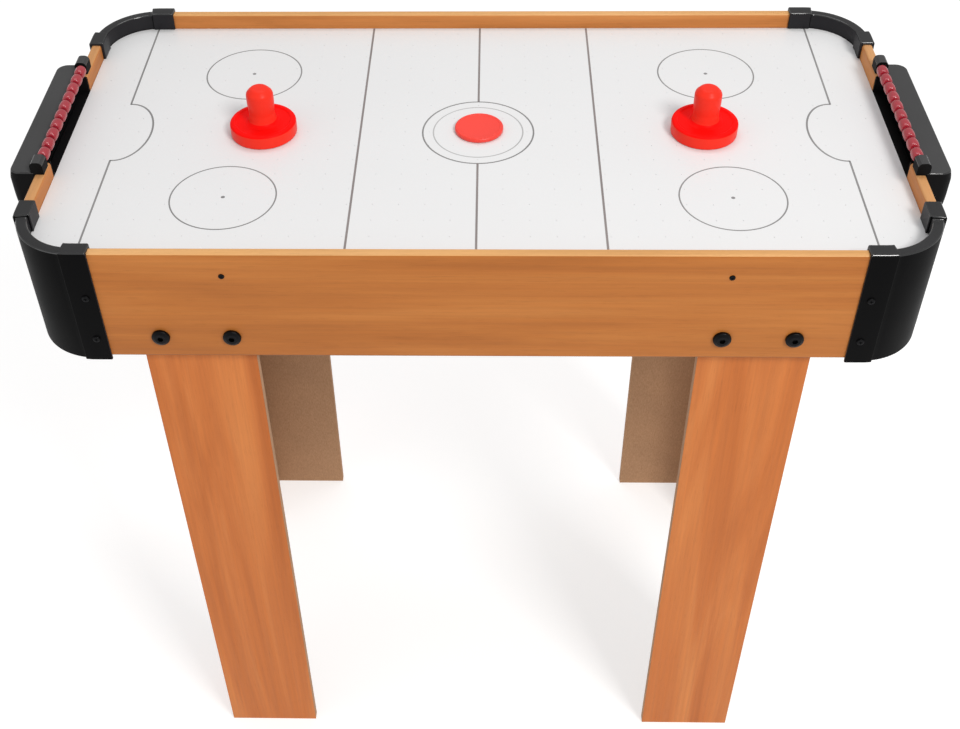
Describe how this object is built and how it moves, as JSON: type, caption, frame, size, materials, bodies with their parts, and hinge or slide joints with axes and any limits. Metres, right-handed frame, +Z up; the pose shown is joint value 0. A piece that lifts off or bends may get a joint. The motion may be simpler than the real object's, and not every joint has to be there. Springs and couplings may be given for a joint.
{
  "type": "air hockey table",
  "caption": "Small free-standing air hockey table: wood-grain boards, black rounded corners, goal boxes with score beads, sliding mallets and puck, L-section legs, fan underneath.",
  "frame": {"origin": "on the floor, under the middle of the table", "axes": "+Z up; +X along the table towards the right goal; -Y towards the front long side"},
  "size_m": [0.875, 0.4386, 0.7858],
  "materials": {
    "apron_wood": "satin",
    "leg_wood": "satin",
    "cap_plastic": "satin",
    "goal_plastic": "satin",
    "playing_surface": "smooth laminate",
    "panel_board": "raw hardboard",
    "bolt_steel": "black oxide",
    "rod_steel": "satin",
    "bead_plastic": "gloss",
    "mallet_plastic": "gloss",
    "puck_plastic": "gloss",
    "fan_plastic": "moulded",
    "motor_steel": "drawn can",
    "rocker_plastic": "gloss"
  },
  "bodies": {
    "table": {"front_apron": "apron_wood", "rear_apron": "apron_wood", "left_end_rail": "apron_wood", "right_end_rail": "apron_wood", "front_left_cap": "cap_plastic", "front_right_cap": "cap_plastic", "rear_left_cap": "cap_plastic", "rear_right_cap": "cap_plastic", "front_left_leg_face": "leg_wood", "front_left_leg_return": "leg_wood", "rear_left_leg_face": "leg_wood", "rear_left_leg_return": "leg_wood", "front_right_leg_face": "leg_wood", "front_right_leg_return": "leg_wood", "rear_right_leg_face": "leg_wood", "rear_right_leg_return": "leg_wood", "front_left_leg_bolt_inner": "bolt_steel", "front_left_leg_bolt_outer": "bolt_steel", "rear_left_leg_bolt_inner": "bolt_steel", "rear_left_leg_bolt_outer": "bolt_steel", "front_right_leg_bolt_inner": "bolt_steel", "front_right_leg_bolt_outer": "bolt_steel", "rear_right_leg_bolt_inner": "bolt_steel", "rear_right_leg_bolt_outer": "bolt_steel", "playfield": "playing_surface", "bottom_panel": "panel_board", "left_goal_box": "goal_plastic", "left_score_rod": "rod_steel", "right_goal_box": "goal_plastic", "right_score_rod": "rod_steel", "fan_housing": "fan_plastic", "fan_motor": "motor_steel", "battery_box": "fan_plastic", "switch_housing": "fan_plastic"},
    "left_mallet": {"left_mallet": "mallet_plastic"},
    "right_mallet": {"right_mallet": "mallet_plastic"},
    "puck": {"puck": "puck_plastic"},
    "fan_impeller": {"fan_impeller": "fan_plastic"},
    "switch_rocker": {"switch_rocker": "rocker_plastic"},
    "battery_cover": {"battery_cover": "fan_plastic"},
    "left_bead_01": {"left_bead_01": "bead_plastic"},
    "left_bead_02": {"left_bead_02": "bead_plastic"},
    "left_bead_03": {"left_bead_03": "bead_plastic"},
    "left_bead_04": {"left_bead_04": "bead_plastic"},
    "left_bead_05": {"left_bead_05": "bead_plastic"},
    "left_bead_06": {"left_bead_06": "bead_plastic"},
    "left_bead_07": {"left_bead_07": "bead_plastic"},
    "left_bead_08": {"left_bead_08": "bead_plastic"},
    "left_bead_09": {"left_bead_09": "bead_plastic"},
    "left_bead_10": {"left_bead_10": "bead_plastic"},
    "right_bead_01": {"right_bead_01": "bead_plastic"},
    "right_bead_02": {"right_bead_02": "bead_plastic"},
    "right_bead_03": {"right_bead_03": "bead_plastic"},
    "right_bead_04": {"right_bead_04": "bead_plastic"},
    "right_bead_05": {"right_bead_05": "bead_plastic"},
    "right_bead_06": {"right_bead_06": "bead_plastic"},
    "right_bead_07": {"right_bead_07": "bead_plastic"},
    "right_bead_08": {"right_bead_08": "bead_plastic"},
    "right_bead_09": {"right_bead_09": "bead_plastic"},
    "right_bead_10": {"right_bead_10": "bead_plastic"}
  },
  "joints": [
    {"name": "left_mallet_slide", "type": "slide", "parent": "table", "child": "left_mallet", "axis": [1, 0, 0], "range_m": [-0.1555, 0.152]},
    {"name": "right_mallet_slide", "type": "slide", "parent": "table", "child": "right_mallet", "axis": [1, 0, 0], "range_m": [-0.162, 0.1455]},
    {"name": "puck_slide", "type": "slide", "parent": "table", "child": "puck", "axis": [0, 1, 0], "range_m": [-0.183, 0.177]},
    {"name": "fan_spin", "type": "hinge", "parent": "table", "child": "fan_impeller", "pos_m": [0, 0, 0.681], "axis": [0, 0, 1], "continuous": true},
    {"name": "switch_rock", "type": "hinge", "parent": "table", "child": "switch_rocker", "pos_m": [0, -0.158, 0.6777], "axis": [0, 1, 0], "range_deg": [0, 24]},
    {"name": "battery_cover_slide", "type": "slide", "parent": "table", "child": "battery_cover", "axis": [1, 0, 0], "range_m": [0, 0.06]},
    {"name": "left_bead_01_slide", "type": "slide", "parent": "table", "child": "left_bead_01", "axis": [0, 1, 0], "range_m": [-0.0017, 0.0017]},
    {"name": "left_bead_02_slide", "type": "slide", "parent": "table", "child": "left_bead_02", "axis": [0, 1, 0], "range_m": [-0.0017, 0.0017]},
    {"name": "left_bead_03_slide", "type": "slide", "parent": "table", "child": "left_bead_03", "axis": [0, 1, 0], "range_m": [-0.0017, 0.0017]},
    {"name": "left_bead_04_slide", "type": "slide", "parent": "table", "child": "left_bead_04", "axis": [0, 1, 0], "range_m": [-0.0017, 0.0017]},
    {"name": "left_bead_05_slide", "type": "slide", "parent": "table", "child": "left_bead_05", "axis": [0, 1, 0], "range_m": [-0.0017, 0.0017]},
    {"name": "left_bead_06_slide", "type": "slide", "parent": "table", "child": "left_bead_06", "axis": [0, 1, 0], "range_m": [-0.0017, 0.0017]},
    {"name": "left_bead_07_slide", "type": "slide", "parent": "table", "child": "left_bead_07", "axis": [0, 1, 0], "range_m": [-0.0017, 0.0017]},
    {"name": "left_bead_08_slide", "type": "slide", "parent": "table", "child": "left_bead_08", "axis": [0, 1, 0], "range_m": [-0.0017, 0.0017]},
    {"name": "left_bead_09_slide", "type": "slide", "parent": "table", "child": "left_bead_09", "axis": [0, 1, 0], "range_m": [-0.0017, 0.0017]},
    {"name": "left_bead_10_slide", "type": "slide", "parent": "table", "child": "left_bead_10", "axis": [0, 1, 0], "range_m": [-0.0017, 0.0017]},
    {"name": "right_bead_01_slide", "type": "slide", "parent": "table", "child": "right_bead_01", "axis": [0, 1, 0], "range_m": [-0.0017, 0.0017]},
    {"name": "right_bead_02_slide", "type": "slide", "parent": "table", "child": "right_bead_02", "axis": [0, 1, 0], "range_m": [-0.0017, 0.0017]},
    {"name": "right_bead_03_slide", "type": "slide", "parent": "table", "child": "right_bead_03", "axis": [0, 1, 0], "range_m": [-0.0017, 0.0017]},
    {"name": "right_bead_04_slide", "type": "slide", "parent": "table", "child": "right_bead_04", "axis": [0, 1, 0], "range_m": [-0.0017, 0.0017]},
    {"name": "right_bead_05_slide", "type": "slide", "parent": "table", "child": "right_bead_05", "axis": [0, 1, 0], "range_m": [-0.0017, 0.0017]},
    {"name": "right_bead_06_slide", "type": "slide", "parent": "table", "child": "right_bead_06", "axis": [0, 1, 0], "range_m": [-0.0017, 0.0017]},
    {"name": "right_bead_07_slide", "type": "slide", "parent": "table", "child": "right_bead_07", "axis": [0, 1, 0], "range_m": [-0.0017, 0.0017]},
    {"name": "right_bead_08_slide", "type": "slide", "parent": "table", "child": "right_bead_08", "axis": [0, 1, 0], "range_m": [-0.0017, 0.0017]},
    {"name": "right_bead_09_slide", "type": "slide", "parent": "table", "child": "right_bead_09", "axis": [0, 1, 0], "range_m": [-0.0017, 0.0017]},
    {"name": "right_bead_10_slide", "type": "slide", "parent": "table", "child": "right_bead_10", "axis": [0, 1, 0], "range_m": [-0.0017, 0.0017]}
  ]
}
